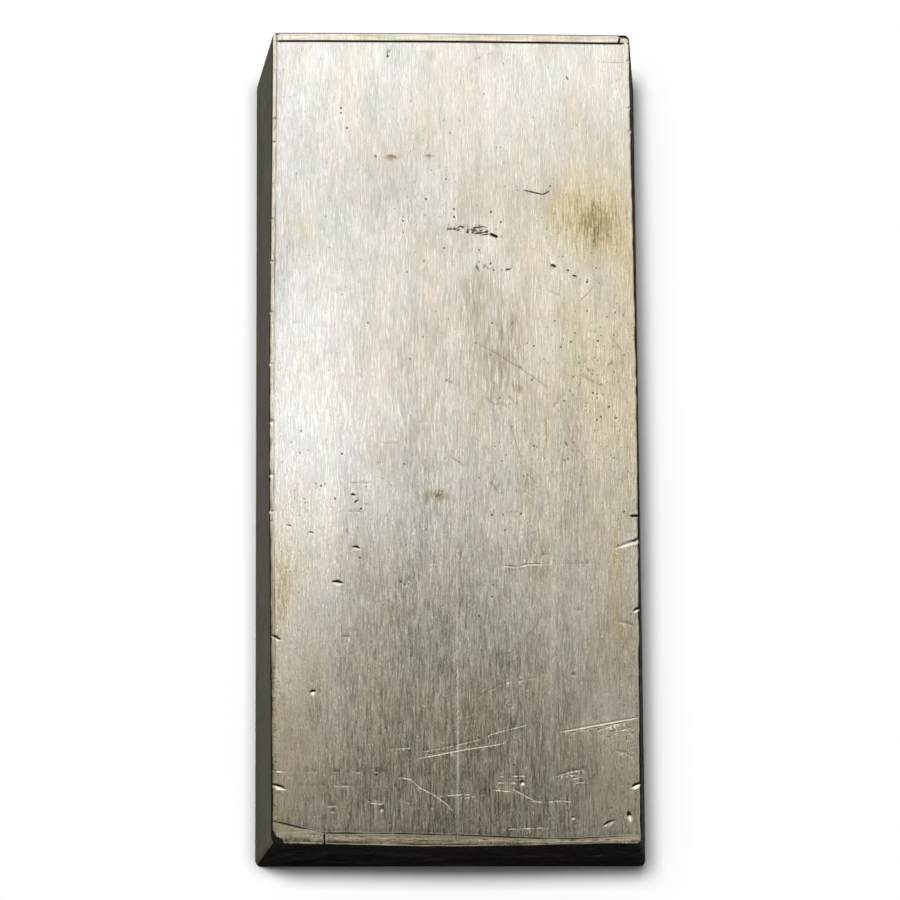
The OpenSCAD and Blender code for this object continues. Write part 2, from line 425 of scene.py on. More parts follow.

# The thin grey veil of tarnish, which also paints shade towards the front and light at the upper left and
# along the left edge: how much lies everywhere, where more of it lies, and where it is rubbed off
VEIL_EVERYWHERE = 0.6
VEIL_AND_SHADE_PATCHES = (
    Stain((455, 730), (140, 190), 0.38),
    Stain((450, 830), (110, 60), 0.12),
    Stain((425, 565), (55, 36), 0.16),
    Stain((268, 600), (66, 230), -0.7),
    Stain((320, 420), (66, 100), -0.42),
    Stain((450, 50), (260, 60), -0.16),
    Stain((470, 190), (150, 80), 0.14),
    Stain((640, 60), (60, 120), -0.12),
    Stain((640, 770), (60, 130), -0.55),
    Stain((640, 480), (40, 90), -0.2),
)


CAMERA_ANGLES = [math.radians(a) for a in CAMERA_TURN]
CAMERA_MATRIX = np.array(Euler(CAMERA_ANGLES).to_matrix())


def on_face(pixel):
    """The point of the brushed face's plane that a pixel of the photograph shows."""
    across = (pixel[0] - PHOTO_SIZE / 2) / FOCAL_PIXELS
    up = (PHOTO_SIZE / 2 - pixel[1]) / FOCAL_PIXELS
    ray = CAMERA_MATRIX @ np.array((across, up, -1))
    place = np.array(CAMERA_PLACE)
    return (place + ray * (THICKNESS - place[2]) / ray[2])[:2]


# The width of a pixel on the face, in mm, at the middle of the photograph
PIXEL = float(np.linalg.norm(on_face((451, 450)) - on_face((450, 450))))


def swell(place):
    """How much of an edge's swell there is, from -1 at one end of the edge to 1 at the other."""
    return np.cos(math.pi / 2 * np.clip(place, -1, 1)) ** 2


def step_count(length):
    return max(2, round(length / EDGE_STEP))


SIDE_STEPS = step_count(BAR_LENGTH)
END_STEPS = step_count(BACK_WIDTH)
CORNER_STEPS = 6


def corner(centre, radius, start):
    """A quarter round about a centre."""
    angles = np.radians(start + 90 * np.arange(CORNER_STEPS + 1) / CORNER_STEPS)
    return np.array(centre) + radius * np.stack((np.cos(angles), np.sin(angles)), axis=1)


def edge(start, end, steps, outward, height):
    """The points between two corners, moved out by the swell."""
    place = np.arange(1, steps)[:, None] / steps
    straight = np.array(start) + (np.array(end) - np.array(start)) * place
    return straight + np.array(outward) * height * swell(2 * place - 1)


def outline(back, front, back_y, front_y, radius, swells):
    """One closed outline of the bar, anticlockwise from the right end of the back."""
    right_back = (back - radius, back_y - radius)
    left_back = (radius - back, back_y - radius)
    left_front = (radius - front, front_y + radius)
    right_front = (front - radius, front_y + radius)
    corners = [
        corner(right_back, radius, 0),
        corner(left_back, radius, 90),
        corner(left_front, radius, 180),
        corner(right_front, radius, 270),
    ]
    edges = [
        edge(corners[0][-1], corners[1][0], END_STEPS, (0, 1), swells[1]),
        edge(corners[1][-1], corners[2][0], SIDE_STEPS, (-1, 0), swells[0]),
        edge(corners[2][-1], corners[3][0], END_STEPS, (0, -1), swells[2]),
        edge(corners[3][-1], corners[0][0], SIDE_STEPS, (1, 0), swells[0]),
    ]
    return np.concatenate([part for pair in zip(corners, edges) for part in pair])


def straight_outline(inset):
    """The outline at the base, less an inset."""
    side = SIDE_RUNOUT - inset
    end = HALF_LENGTH + END_RUNOUT - inset
    return outline(HALF_BACK + side, HALF_FRONT + side, end, -end, BASE_RADIUS, (0, 0, 0))


def shoulder_outline():
    swells = (SIDE_SWELL, BACK_SWELL, FRONT_SWELL)
    return outline(HALF_BACK, HALF_FRONT, HALF_LENGTH, -HALF_LENGTH, SHOULDER_RADIUS, swells)


def side_reach(y):
    """Half the width of the shoulder at a place along the bar."""
    share = (y + HALF_LENGTH) / BAR_LENGTH
    return HALF_FRONT + (HALF_BACK - HALF_FRONT) * share + SIDE_SWELL * swell(y / HALF_LENGTH)


def back_reach(x):
    return HALF_LENGTH + BACK_SWELL * swell(x / HALF_BACK)


def front_reach(x):
    return -HALF_LENGTH - FRONT_SWELL * swell(x / HALF_FRONT)


# The crease of the front bevel wanders, so it is followed on the photo
FRONT_CREASE = (
    (271, 820.5), (300, 827.5), (319, 831.7), (325, 833.2), (400, 833.5),
    (470, 835.5), (540, 838.3), (570, 838.8), (605, 837), (637, 835),
)
CREASE_LINE = np.array([on_face(p) for p in FRONT_CREASE])


def front_crease(x):
    return np.interp(x, CREASE_LINE[:, 0], CREASE_LINE[:, 1])


def soft_noise(points, size, seed):
    """Smooth noise from -1 to 1 at plan points, with lumps of the given size in mm along each axis."""
    values = [noise.noise(Vector((x / size[0], y / size[1], seed))) for x, y in points]
    return np.array(values)


def bevel_shares(points):
    """How far down the left, right, back and front bevel each point is: 0 at the face, 1 at the edge."""
    x, y = points.T
    left = 1 - (side_reach(y) + x) / SIDE_BEVEL
    right = 1 - (side_reach(y) - x) / SIDE_BEVEL
    back = 1 - (back_reach(x) - y) / BACK_BEVEL
    front = (front_crease(x) - y) / (front_crease(x) - front_reach(x))
    return [np.clip(share, 0, 1) for share in (left, right, back, front)]


# The bevels are worn nearly flat, with a round edge. The front one rises a little before its edge.
EDGE_ROUND = 16.0
FRONT_RISE = 0.045


def bevel_drop(points):
    """How far each plan point is below the face, because of the bevels."""
    shares = bevel_shares(points)
    return BEVEL_DROP * np.max(shares, axis=0) ** EDGE_ROUND - FRONT_RISE * shares[3]


def along_route(mark):
    """The points of a mark's route on the face, one every MARK_STEP or so, with the way across it."""
    stops = np.array([on_face(p) for p in mark.route])
    lengths = np.linalg.norm(np.diff(stops, axis=0), axis=1)
    reach = np.concatenate(((0,), np.cumsum(lengths)))
    count = max(3, int(reach[-1] / MARK_STEP) + 1)
    at = np.linspace(0, reach[-1], count)
    route = np.stack((np.interp(at, reach, stops[:, 0]), np.interp(at, reach, stops[:, 1])), axis=1)
    ahead = np.gradient(route, axis=0)
    ahead /= np.linalg.norm(ahead, axis=1)[:, None]
    return route, np.stack((-ahead[:, 1], ahead[:, 0]), axis=1)


# The flecks: their turn and its spread in radians, half length in pixels, width and depth in mm, and dirt
FLECK_TURN = (-0.3, 0.5)
FLECK_HALF_LENGTH = (0.7, 2.0)
FLECK_WIDTH = (0.16, 0.28)
FLECK_DEPTH = 0.03
FLECK_DIRT = (0.5, 0.9)


def fleck_marks():
    """Short marks with dirt in them, strewn over the fleck fields."""
    chance = np.random.default_rng(SEED)
    marks = []
    for middle, reach, count in FLECK_FIELDS:
        for _ in range(count):
            place = np.array(middle) + np.array(reach) * chance.uniform(-1, 1, 2)
            turn = chance.normal(*FLECK_TURN)
            half = chance.uniform(*FLECK_HALF_LENGTH) * np.array((math.cos(turn), math.sin(turn)))
            width = chance.uniform(*FLECK_WIDTH)
            dirt_and_shade = chance.uniform(*FLECK_DIRT)
            marks.append(Mark((tuple(place - half), tuple(place + half)), width, FLECK_DEPTH, dirt_and_shade))
    return tuple(marks)


ALL_MARKS = HAIRLINES + CRACK + fleck_marks() + CUTS + TORN_LINES + BELT_LINES + END_LINES + EDGE_NICKS

# Where the points across a mark lie, in half widths
MARK_LANES = (-1.5, -1.0, -0.5, 0.0, 0.5, 1.0, 1.5)


def mark_points():
    """Plan points along every mark, in lanes across it, so that its groove has a crisp shape."""
    points = []
    for mark in ALL_MARKS:
        route, across = along_route(mark)
        for lane in MARK_LANES:
            points.append(route + across * lane * mark.width / 2)
    return np.concatenate(points)


# The range of the pits' radii in mm. Points lie on rings round a pit, in shares of its radius.
PIT_RADIUS = (0.13, 0.21)
PIT_RINGS = (0.6, 1.15, 1.8)
PIT_SIDES = 8


def pit_list():
    """Every pit as its place and radius in mm."""
    chance = np.random.default_rng(SEED)
    return [(on_face(p), chance.uniform(*PIT_RADIUS)) for p in PITS]


PIT_LIST = pit_list()


def pit_points():
    """A middle point and rings of points for every pit."""
    angles = np.arange(PIT_SIDES) * 2 * math.pi / PIT_SIDES
    ring = np.stack((np.cos(angles), np.sin(angles)), axis=1)
    points = []
    for middle, radius in PIT_LIST:
        points.append(middle[None, :])
        points.extend(middle + ring * (share * radius) for share in PIT_RINGS)
    return np.concatenate(points)


def grid_of(x, y):
    """Every place along X with every place along Y."""
    return np.stack(np.meshgrid(x, y), axis=-1).reshape(-1, 2)


def gouge_frame(gouge):
    """A gouge's middle, half size in mm and the two directions of its own axes."""
    half = np.array(gouge.size) * PIXEL / 2
    turn = -gouge.slant
    right = np.array((math.cos(turn), math.sin(turn)))
    back = np.array((-math.sin(turn), math.cos(turn)))
    return on_face(gouge.middle), half, right, back


# Points over a gouge, in half sizes: close lanes out to its rim, and one more lane round it
GOUGE_RIM = 1.15
GOUGE_SURROUND = 1.6
GOUGE_LANES = 12


def gouge_points():
    points = []
    inner = np.linspace(-GOUGE_RIM, GOUGE_RIM, GOUGE_LANES)
    lanes = np.concatenate(((-GOUGE_SURROUND,), inner, (GOUGE_SURROUND,)))
    grid = grid_of(lanes, lanes)
    for gouge in GOUGES:
        middle, half, right, back = gouge_frame(gouge)
        points.append(middle + grid[:, :1] * half[0] * right + grid[:, 1:] * half[1] * back)
    return np.concatenate(points)


# The chip is a slanting cut across the corner: how far in it reaches from the corner, how steep it is,
# how far its darkening reaches past it, and where the fine grid over it starts and ends, in mm
CHIP_CORNER = on_face((270, 849))
CHIP_INWARD = np.array((0.7, 0.71))
CHIP_ALONG = np.array((0.71, -0.7))
CHIP_REACH = 2.35
CHIP_SLOPE = 0.75
CHIP_DARKENING = 0.55
CHIP_GRID = (0.4, 3.6)
CHIP_STEP = 0.1

# The broken face of the chip: the sizes of its lumps and grains, and how far they reach in, in mm
CHIP_LUMPS = (1.1, 1.1)
CHIP_LUMP_DEPTH = 0.3
CHIP_GRAINS = (0.4, 0.4)
CHIP_GRAIN_DEPTH = 0.14


def chip_points():
    """A fine grid over the chipped corner, in line with the break."""
    near, far = CHIP_GRID
    inward = np.arange(near, far, CHIP_STEP)
    along = np.arange(-far, far + CHIP_STEP / 2, CHIP_STEP)
    grid = grid_of(inward, along)
    return CHIP_CORNER + grid @ np.stack((CHIP_INWARD, CHIP_ALONG))


# Rows of points on the bevels: insets in mm, on the front one shares of its width, and about a crease
SIDE_ROWS = (0.3, 0.58)
BACK_ROWS = (0.4, 0.8, 1.2, 1.5)
FRONT_ROWS = (0.2, 0.4, 0.6, 0.8, 0.9)
CREASE_ROWS = (-0.12, 0, 0.12, 0.35)
ROW_STEP = 0.4
SIDE_ROW_MARGIN = 0.6
END_ROW_MARGIN = 0.9


def crease_points():
    """Rows of points down the bevels and along both sides of their creases."""
    rows = []
    y = np.arange(SIDE_ROW_MARGIN - HALF_LENGTH, HALF_LENGTH - SIDE_ROW_MARGIN, ROW_STEP)
    x = np.arange(END_ROW_MARGIN - HALF_BACK, HALF_BACK - END_ROW_MARGIN, ROW_STEP)
    for inset in SIDE_ROWS + tuple(SIDE_BEVEL + row for row in CREASE_ROWS):
        rows.append(np.stack((side_reach(y) - inset, y), axis=1))
        rows.append(np.stack((inset - side_reach(y), y), axis=1))
    for inset in BACK_ROWS + tuple(BACK_BEVEL + row for row in CREASE_ROWS):
        rows.append(np.stack((x, back_reach(x) - inset), axis=1))
    for share in FRONT_ROWS:
        rows.append(np.stack((x, front_crease(x) + (front_reach(x) - front_crease(x)) * share), axis=1))
    for row in CREASE_ROWS:
        rows.append(np.stack((x, front_crease(x) + row), axis=1))
    return np.concatenate(rows)


def grid_points():
    """A level grid over the whole face and 1 mm past it, for everything that no mark crosses."""
    x = np.arange(-HALF_BACK - 1, HALF_BACK + 1, FACE_STEP)
    y = np.arange(-HALF_LENGTH - 1, HALF_LENGTH + 1, FACE_STEP)
    return grid_of(x, y)


def thinned(points, cell):
    """The first point in each square cell."""
    _, first = np.unique(np.floor(points / cell).astype(int), axis=0, return_index=True)
    return points[np.sort(first)]


def inside_shoulder(points, margin):
    """Whether each plan point is inside the shoulder by a margin, its round corners included."""
    x, y = points.T
    inner = SHOULDER_RADIUS + margin
    side = side_reach(y) - margin - np.abs(x)
    back = np.minimum(back_reach(x) - margin - y, y - front_reach(x) - margin)
    out = np.stack((np.maximum(inner - margin - side, 0), np.maximum(inner - margin - back, 0)), axis=1)
    return (side > 0) & (back > 0) & (np.linalg.norm(out, axis=1) < inner - margin)


def clear_of(points, others, gap):
    """The points that lie in no cell, or next to no cell, that holds one of the others."""
    cells = np.floor(others / gap).astype(int)
    taken = {tuple(c) for c in cells}
    near = [(i, j) for i in (-1, 0, 1) for j in (-1, 0, 1)]
    places = np.floor(points / gap).astype(int)
    free = [not any((a + i, b + j) in taken for i, j in near) for a, b in places]
    return points[np.array(free)]


# Margins inside the shoulder for the points of marks and of the plain grid, and how far apart points keep
MARK_MARGIN = 0.12
PLAIN_MARGIN = 0.3
FINEST_CELL = 0.05
FINE_CELL = 0.085
PLAIN_GAP = 0.24


def face_plan(ring):
    """The plan points of the top: the shoulder ring first, then marks and creases, then the plain grid."""
    finest = np.concatenate((gouge_points(), chip_points(), pit_points()))
    finest = thinned(finest[inside_shoulder(finest, MARK_MARGIN)], FINEST_CELL)
    fine = np.concatenate((mark_points(), crease_points()))
    fine = thinned(fine[inside_shoulder(fine, MARK_MARGIN)], FINE_CELL)
    fine = np.concatenate((finest, clear_of(fine, finest, FINEST_CELL)))
    plain = grid_points()
    plain = clear_of(plain[inside_shoulder(plain, PLAIN_MARGIN)], fine, PLAIN_GAP)
    return np.concatenate((ring, fine, plain))


# Delaunay's setting for triangles inside the ring alone, and the gap in mm below which points are one
INSIDE_ONLY = 1
SAME_POINT = 1e-6


def triangles_of(plan, ring_count):
    """Triangles over the plan points, inside the ring that comes first in them."""
    points = [Vector(p) for p in plan]
    result = delaunay_2d_cdt(points, [], [list(range(ring_count))], INSIDE_ONLY, SAME_POINT)
    sources = [origin[0] for origin in result[3]]
    triangles = np.array([[sources[i] for i in face] for face in result[2]])
    a, b, c = (plan[triangles[:, i]] for i in range(3))
    turn = np.cross(b - a, c - a)
    triangles[turn < 0] = triangles[turn < 0][:, ::-1]
    return triangles


# What each point of the top carries for the materials, next to its height
FINISHES = ("dirt_and_shade", "bare_and_highlight", "gold", "smear", "veil", "specks", "end")


class FaceState:
    """Heights and finishes of the top's points, changed by each mark in turn."""

    def __init__(self, plan):
        self.plan = plan
        self.height = np.zeros(len(plan))
        for name in FINISHES:
            setattr(self, name, np.zeros(len(plan)))
        self.veil += VEIL_EVERYWHERE
        self.specks += SPECKS_EVERYWHERE

    def near(self, low, high):
        """The numbers of the points in a box."""
        inside = np.all((self.plan > low) & (self.plan < high), axis=1)
        return np.nonzero(inside)[0]

    def raise_finish(self, name, amount, where=slice(None)):
        """Brings a finish up to an amount, where it is less."""
        values = getattr(self, name)
        values[where] = np.maximum(values[where], amount)


def nearest_on_route(points, route):
    """Each point's distance to a route, its side, and how far along the route that is from 0 to 1."""
    best = np.full(len(points), np.inf)
    side = np.zeros(len(points))
    along = np.zeros(len(points))
    for i in range(len(route) - 1):
        start = route[i]
        step = route[i + 1] - start
        length = np.linalg.norm(step)
        offset = points - start
        share = np.clip(offset @ step / length ** 2, 0, 1)
        gap = offset - share[:, None] * step
        distance = np.linalg.norm(gap, axis=1)
        closer = distance < best
        best[closer] = distance[closer]
        side[closer] = np.sign(gap[closer, 1])
        along[closer] = (i + share[closer]) / (len(route) - 1)
    return best, side, along


# A cut fades out over the first and the last seventh of its length
CUT_FADE = 7

# In shares of a cut's own: its width where it fades out, and its burrs' place, width and height
CUT_END_WIDTH = 0.35
BURR_PLACE = 1.2
BURR_WIDTH = 0.35
BURR_HEIGHT = 0.12

# The breaks in a cut: their size in mm, how much they take away on average, and how much that changes
BREAK_SIZE = (0.8, 1)
BREAK_MEAN = 0.9
BREAK_CHANGE = 2.2

# Added to a mark's number, because this noise is 0 at whole numbers
BREAK_SEED = 0.37

# Where a cut's finish ends, in half widths, the dirt on its lit wall, how much of that its bare metal takes
# away, and the bare metal on its shaded wall.
# The shaded wall gets all the dirt, with painted shade, and the lit wall all the bare metal, with a painted
# highlight.
CUT_FINISH = 1.5
LIT_DIRT = 0.75
BARE_CLEANS = 0.5
SHADED_BARE = 0.35


def cut_mark(state, mark, number):
    """Cuts one mark: a groove with low burrs, dirt and painted shade on its shaded wall, and bare metal and
    a painted highlight on its lit wall.
    """
    route, _ = along_route(mark)
    around = 2 * mark.width
    where = state.near(route.min(axis=0) - around, route.max(axis=0) + around)
    if len(where) == 0:
        return
    gap, side, along = nearest_on_route(state.plan[where], route)
    if mark.wedge:
        strength = 1 - along
    else:
        strength = np.clip(np.minimum(along, 1 - along) * CUT_FADE, 0, 1)
    if mark.broken:
        length = MARK_STEP * len(route)
        places = np.stack((along * length, along * 0), axis=1)
        flicker = soft_noise(places, BREAK_SIZE, seed=number + BREAK_SEED)
        strength = strength * np.clip(1 - mark.broken * (BREAK_MEAN - BREAK_CHANGE * flicker), 0, 1)
    width = mark.width / 2 * (CUT_END_WIDTH + (1 - CUT_END_WIDTH) * strength)
    groove = np.clip(1 - gap / width, 0, 1)
    burr = np.exp(-((gap - BURR_PLACE * width) / (BURR_WIDTH * width)) ** 2)
    state.height[where] += mark.depth * strength * (BURR_HEIGHT * burr - groove)
    inside = np.clip(CUT_FINISH - gap / width, 0, 1) * strength
    # Painted shade on the shaded wall and a painted highlight on the lit wall, besides the dirt and bare
    # metal in the cut
    dirt_and_shade = mark.dirt_and_shade * np.where(side > 0, 1.0, LIT_DIRT - BARE_CLEANS * mark.bare_and_highlight)
    bare_and_highlight = mark.bare_and_highlight * np.where(side > 0, SHADED_BARE, 1.0)
    state.raise_finish("dirt_and_shade", dirt_and_shade * inside, where)
    state.raise_finish("bare_and_highlight", bare_and_highlight * inside, where)


# The depth of a pit, and where its dirt ends, in shares of its radius, with how sharply it ends
PIT_DEPTH = 0.2
PIT_DIRT_END = 1.1
PIT_DIRT_FADE = 2.5


def dent_pit(state, middle, radius):
    where = state.near(middle - 2 * radius, middle + 2 * radius)
    gap = np.linalg.norm(state.plan[where] - middle, axis=1) / radius
    state.height[where] -= PIT_DEPTH * radius * np.clip(1 - gap ** 2, 0, 1)
    state.raise_finish("dirt_and_shade", np.clip(PIT_DIRT_FADE * (PIT_DIRT_END - gap), 0, 1), where)


# A gouge from its front at -1 to its back at 1: the lengths of its steep wall and its gentle slope,
# where its painted shadow starts and how sharply, and the middle and half width of its painted highlight
STEEP_LENGTH = 0.35
GENTLE_LENGTH = 1.65
DARK_START = 0.1
DARK_EDGE = 5
BRIGHT_MIDDLE = -0.35
BRIGHT_HALF = 0.45

# The finish of a gouge runs a little past its rim, and its tips are kept from getting too thin
GOUGE_FINISH = 1.1
GOUGE_THINNEST = 0.05


def dent_gouge(state, gouge):
    """A dent that drops steeply at its back and climbs slowly to the front."""
    middle, half, right, back = gouge_frame(gouge)
    reach = GOUGE_SURROUND * np.max(half)
    where = state.near(middle - reach, middle + reach)
    offset = state.plan[where] - middle
    u = offset @ right / half[0]
    lip = np.sqrt(np.clip(1 - u ** 2, 0, 1))
    v = offset @ back / half[1] / np.maximum(lip, GOUGE_THINNEST)
    steep = np.clip((1 - v) / STEEP_LENGTH, 0, 1)
    gentle = np.clip((1 + v) / GENTLE_LENGTH, 0, 1)
    state.height[where] -= gouge.depth * np.minimum(steep, gentle) * lip
    inside = (np.abs(u) < 1) & (np.abs(v) < GOUGE_FINISH)
    dark = np.clip((v - DARK_START) * DARK_EDGE, 0, 1)
    bright = np.clip(1 - np.abs(v - BRIGHT_MIDDLE) / BRIGHT_HALF, 0, 1)
    # Painted shadow on the back wall, laid as dirt, and a painted highlight on the front slope, laid as
    # bare metal
    state.raise_finish("dirt_and_shade", inside * gouge.dark * dark, where)
    state.raise_finish("bare_and_highlight", inside * gouge.bright * bright, where)


def lay_stain(state, name, stain):
    middle = on_face(stain.middle)
    reach = np.array(stain.reach) * PIXEL
    gap = np.linalg.norm((state.plan - middle) / reach, axis=1)
    values = getattr(state, name)
    values += stain.strength * np.exp(-gap ** 2)


# The creases: the depth of their grooves and their widths, in mm. The rims along the edges are dark too,
# with dirt, and along the right edge with painted shade, and those of the sides change in width from the
# front to the back.
CREASE_GROOVE = 0.03
SIDE_CREASE = 0.13
BACK_CREASE = 0.2
FRONT_CREASE_WIDTH = 0.19
LEFT_RIM = (0.56, 0.22)
RIGHT_RIM = (0.6, 0.36)
END_RIM = 0.3

# The dark of the creases, dirt and painted shade, comes in patches: their size in mm, their mean and how
# much they change. The side crease is dark in the patches alone, and the front one has some everywhere.
PATCH_SIZE = (3.0, 7.0)
PATCH_MEAN = 0.6
PATCH_CHANGE = 0.9
SIDE_CREASE_DIRT_AND_SHADE = 0.65
FRONT_CREASE_DIRT_AND_SHADE = 0.55
FRONT_PATCH_DIRT_AND_SHADE = 0.4
CREASE_DIRT_AND_SHADE_EDGE = 1.8

# The rims are ragged: the size of the rags in mm, the mean of their width and how much it changes
RAG_SIZE = (2.2, 2.2)
RAG_MEAN = 0.85
RAG_CHANGE = 0.3
RIM_DIRT_AND_SHADE = 0.95
RIM_DIRT_AND_SHADE_EDGE = 1.6

# The face is not quite flat: it rolls off towards the left edge, and has low waves and ripples
ROLL_WIDTH = 10.0
ROLL_DROP = 0.2
WAVE_HEIGHT = 0.02
WAVE_SIZE = (9, 22)
RIPPLE_HEIGHT = 0.005
RIPPLE_SIZE = (2.5, 7)

# The front left corner stands up a little: how much, and how far that reaches along X and Y
CORNER_RISE = 0.4
CORNER_REACH = (14, 40)

# The bevels are more tarnished than the face. The left one changes from front to back, between two Y.
BEVEL_CHANGE = (-45, 5)
LEFT_GOLD = (0.0, 0.42)
LEFT_VEIL = (1.2, 0.0)
LEFT_DIRT = (0.28, 0.0)
BACK_VEIL = 0.25
END_GOLD = 0.18


def tarnish_bevels(state):
    """The finish of the bevels, which sets in within a quarter or a fifth of their width."""
    y = state.plan[:, 1]
    left, _, back, front = bevel_shares(state.plan)
    state.end[:] = np.clip(5 * np.maximum(back, front), 0, 1)
    bevel = np.clip(4 * left, 0, 1)
    state.gold += np.maximum(np.interp(y, BEVEL_CHANGE, LEFT_GOLD) * bevel, END_GOLD * state.end)
    state.veil += np.interp(y, BEVEL_CHANGE, LEFT_VEIL) * bevel + BACK_VEIL * np.clip(4 * back, 0, 1)
    state.raise_finish("dirt_and_shade", np.interp(y, BEVEL_CHANGE, LEFT_DIRT) * bevel * (1 - state.bare_and_highlight))


def shape_creases(state):
    """Grooves darkened by dirt and painted shade where the bevels start, broken up along their length, and
    dark rims along the edges: dirt, with painted shade along the right one.
    """
    x, y = state.plan.T
    patchy = np.clip(PATCH_MEAN + PATCH_CHANGE * soft_noise(state.plan, PATCH_SIZE, seed=3.1), 0, 1)
    left = np.abs(x + side_reach(y) - SIDE_BEVEL)
    back = np.abs(back_reach(x) - BACK_BEVEL - y)
    front = np.abs(front_crease(x) - y)
    creases = (
        (left, SIDE_CREASE, SIDE_CREASE_DIRT_AND_SHADE * patchy),
        (back, BACK_CREASE, 1.0),
        (front, FRONT_CREASE_WIDTH, FRONT_CREASE_DIRT_AND_SHADE + FRONT_PATCH_DIRT_AND_SHADE * patchy),
    )
    for gap, width, dirt_and_shade in creases:
        line = np.clip(1 - gap / width, 0, 1)
        state.height -= CREASE_GROOVE * line
        state.raise_finish("dirt_and_shade", dirt_and_shade * np.clip(CREASE_DIRT_AND_SHADE_EDGE * line, 0, 1))
    ragged = RAG_MEAN + RAG_CHANGE * soft_noise(state.plan, RAG_SIZE, seed=8.4)
    ends = (-HALF_LENGTH, HALF_LENGTH)
    rims = (
        (side_reach(y) + x, np.interp(y, ends, LEFT_RIM)),
        (side_reach(y) - x, np.interp(y, ends, RIGHT_RIM)),
        (back_reach(x) - y, END_RIM),
        (y - front_reach(x), END_RIM),
    )
    for gap, width in rims:
        rim = np.clip(1 - gap / (width * ragged), 0, 1)
        state.raise_finish("dirt_and_shade", np.clip(RIM_DIRT_AND_SHADE_EDGE * rim, 0, RIM_DIRT_AND_SHADE) * (1 - state.bare_and_highlight))


def shape_chip(state):
    """The broken front left corner: a rough dark slope."""
    inward = (state.plan - CHIP_CORNER) @ CHIP_INWARD
    rough = CHIP_LUMP_DEPTH * soft_noise(state.plan, CHIP_LUMPS, seed=9.2)
    rough += CHIP_GRAIN_DEPTH * soft_noise(state.plan, CHIP_GRAINS, seed=4.4)
    missing = np.clip(CHIP_REACH + rough - inward, 0, None)
    state.height -= CHIP_SLOPE * missing
    darkening = CHIP_REACH + CHIP_DARKENING + 2 * rough - inward
    state.raise_finish("dirt_and_shade", np.clip(np.maximum(4 * missing, 1.5 * darkening), 0, 1))


def shape_face(state):
    """The height and finish of the whole top."""
    plan = state.plan
    x, y = plan.T
    state.height -= bevel_drop(plan)
    roll = np.clip(1 - (side_reach(y) + x) / ROLL_WIDTH, 0, 1)
    state.height -= ROLL_DROP * roll ** 2
    from_corner = (plan + np.array((HALF_FRONT, HALF_LENGTH))) / np.array(CORNER_REACH)
    state.height += CORNER_RISE * np.exp(-0.5 * np.sum(from_corner ** 2, axis=1))
    state.height += WAVE_HEIGHT * soft_noise(plan, WAVE_SIZE, seed=1.7)
    state.height += RIPPLE_HEIGHT * soft_noise(plan, RIPPLE_SIZE, seed=5.3)
    for number, mark in enumerate(ALL_MARKS):
        cut_mark(state, mark, number)
    for middle, radius in PIT_LIST:
        dent_pit(state, middle, radius)
    for gouge in GOUGES:
        dent_gouge(state, gouge)
    stains = {"gold": GOLD_STAINS, "smear": SMEARS, "veil": VEIL_AND_SHADE_PATCHES, "specks": SPECK_FIELDS}
    for name, patches in stains.items():
        for stain in patches:
            lay_stain(state, name, stain)
    tarnish_bevels(state)
    shape_creases(state)
    shape_chip(state)
    state.height += THICKNESS


# The bumps of the cast walls: the height of the lumps, the grains' share of it, and the sizes of both along
# and up the wall. The bumps fade out towards the top, and nearly so towards the foot.
WALL_ROUGHNESS = 0.05
WALL_GRAIN_SHARE = 0.5
WALL_LUMPS = (6, 4)
WALL_GRAINS = (1.6, 1.4)
WALL_FADE = 0.08

# Half the width and length of the grid on the base, and the angle between faces that shows as an edge
BASE_GRID = (34, 72)
SHARP_ANGLE = math.radians(40)

# The left wall is where the outline runs mostly towards the front
MOSTLY = 0.7


def wall_rings(top_ring, top_heights):
    """Rings of points up the walls, from the base plane to one step below the shoulder ring."""
    foot = straight_outline(BASE_EDGE_INSET)
    base = straight_outline(0)
    rings = [np.column_stack((foot, np.zeros(len(foot))))]
    levels = max(3, round((SHOULDER_Z - BASE_EDGE_HEIGHT) / WALL_STEP))
    out = base / np.linalg.norm(base, axis=1)[:, None]
    for level in range(levels):
        share = level / levels
        plan = base + (top_ring - base) * share
        z = BASE_EDGE_HEIGHT + (top_heights - BASE_EDGE_HEIGHT) * share
        unrolled = np.stack((np.arange(len(plan)) * EDGE_STEP, z), axis=1)
        bumps = soft_noise(unrolled, WALL_LUMPS, seed=2.9)
        bumps += WALL_GRAIN_SHARE * soft_noise(unrolled, WALL_GRAINS, seed=6.1)
        fade = math.sin(math.pi * min(share + WALL_FADE, 1))
        rings.append(np.column_stack((plan + out * (bumps * WALL_ROUGHNESS * fade)[:, None], z)))
    return rings


def wall_faces(ring_count, rows):
    """Four-sided faces between rows of rings; rows give the first point of each ring."""
    here = np.arange(ring_count)
    ahead = np.roll(here, -1)
    faces = [np.stack((low + here, low + ahead, high + ahead, high + here), axis=1)
             for low, high in zip(rows[:-1], rows[1:])]
    return np.concatenate(faces)


def material_slots(ring, wall_rows, faces, top_count):
    """The material of each face: 0 brushed silver, 1 the walls and base in painted shade, 2 the left wall
    in painted light.
    """
    slots = np.ones(len(faces), dtype=int)
    ahead = np.roll(ring, -1, axis=0) - ring
    on_left = ahead[:, 1] < -MOSTLY * np.linalg.norm(ahead, axis=1)
    wall_count = len(ring) * wall_rows
    slots[:wall_count] = np.tile(np.where(on_left, 2, 1), wall_rows)
    slots[wall_count:wall_count + top_count] = 0
    return slots


